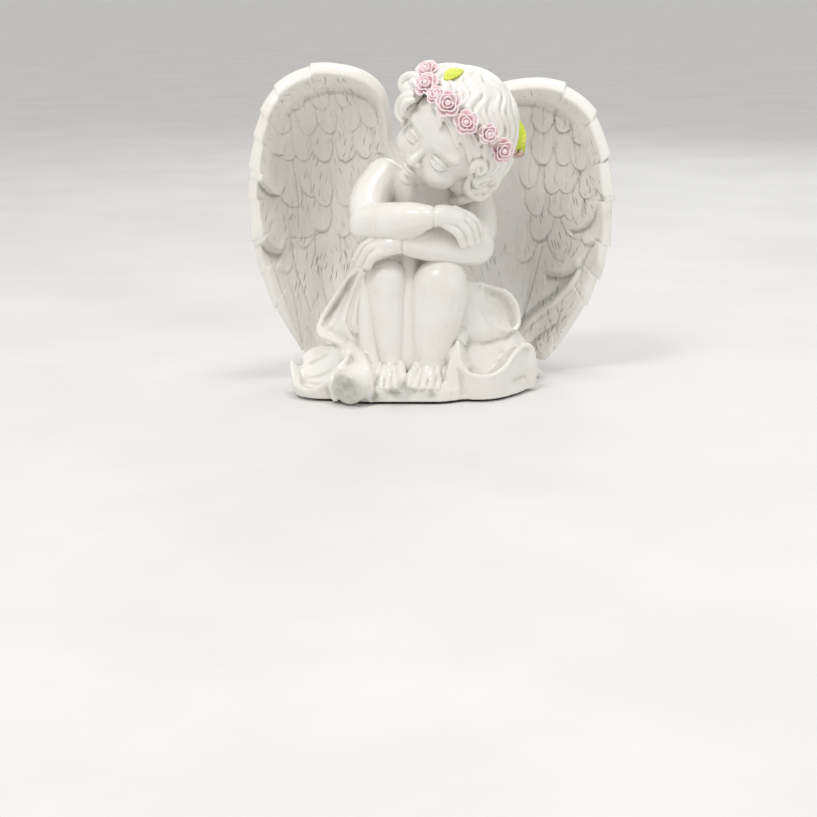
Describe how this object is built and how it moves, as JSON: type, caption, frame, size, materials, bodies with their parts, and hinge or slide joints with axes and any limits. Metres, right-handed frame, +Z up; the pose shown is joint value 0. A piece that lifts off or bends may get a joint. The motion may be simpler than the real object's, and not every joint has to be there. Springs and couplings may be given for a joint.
{
  "type": "seated cherub figurine",
  "caption": "White resin figurine of a seated winged child with arms crossed on drawn-up knees, head bowed aside under a wreath of pink roses, on a low draped base.",
  "frame": {"origin": "on the underside of the felt sheet, below the middle of the ground casting", "axes": "+X to the viewer's right (the figure's left), -Y the way the shins face, +Z up"},
  "size_m": [0.172, 0.0971, 0.151],
  "materials": {
    "white_resin": "glossy, slightly soiled in the grooves",
    "rose_paint": "satin paint, paler at the petal edges",
    "leaf_paint": "satin paint",
    "vine_paint": "satin paint",
    "black_felt": "matt felt",
    "rubber_plug": "matt",
    "dowel_steel": "plain"
  },
  "bodies": {
    "root": {"ground_casting": "white_resin", "felt_sheet": "black_felt", "pour_plug": "rubber_plug", "drape_skirt": "white_resin", "drape_flap_right": "white_resin", "drape_flap_left": "white_resin", "cloth_roll": "white_resin", "torso": "white_resin", "right_leg": "white_resin", "left_leg": "white_resin", "right_foot": "white_resin", "left_foot": "white_resin", "right_arm": "white_resin", "left_arm": "white_resin", "right_hand": "white_resin", "left_hand": "white_resin", "head": "white_resin", "hair_cap": "white_resin", "hair_side_curls": "white_resin", "wreath_vine": "vine_paint", "rose_1": "rose_paint", "rose_2": "rose_paint", "rose_3": "rose_paint", "rose_4": "rose_paint", "rose_5": "rose_paint", "rose_6": "rose_paint", "rose_7": "rose_paint", "leaf_1": "leaf_paint", "leaf_2": "leaf_paint", "leaf_3": "leaf_paint", "right_wing": "white_resin", "left_wing": "white_resin", "wing_dowels": "dowel_steel", "neck_dowel": "dowel_steel"}
  },
  "joints": []
}
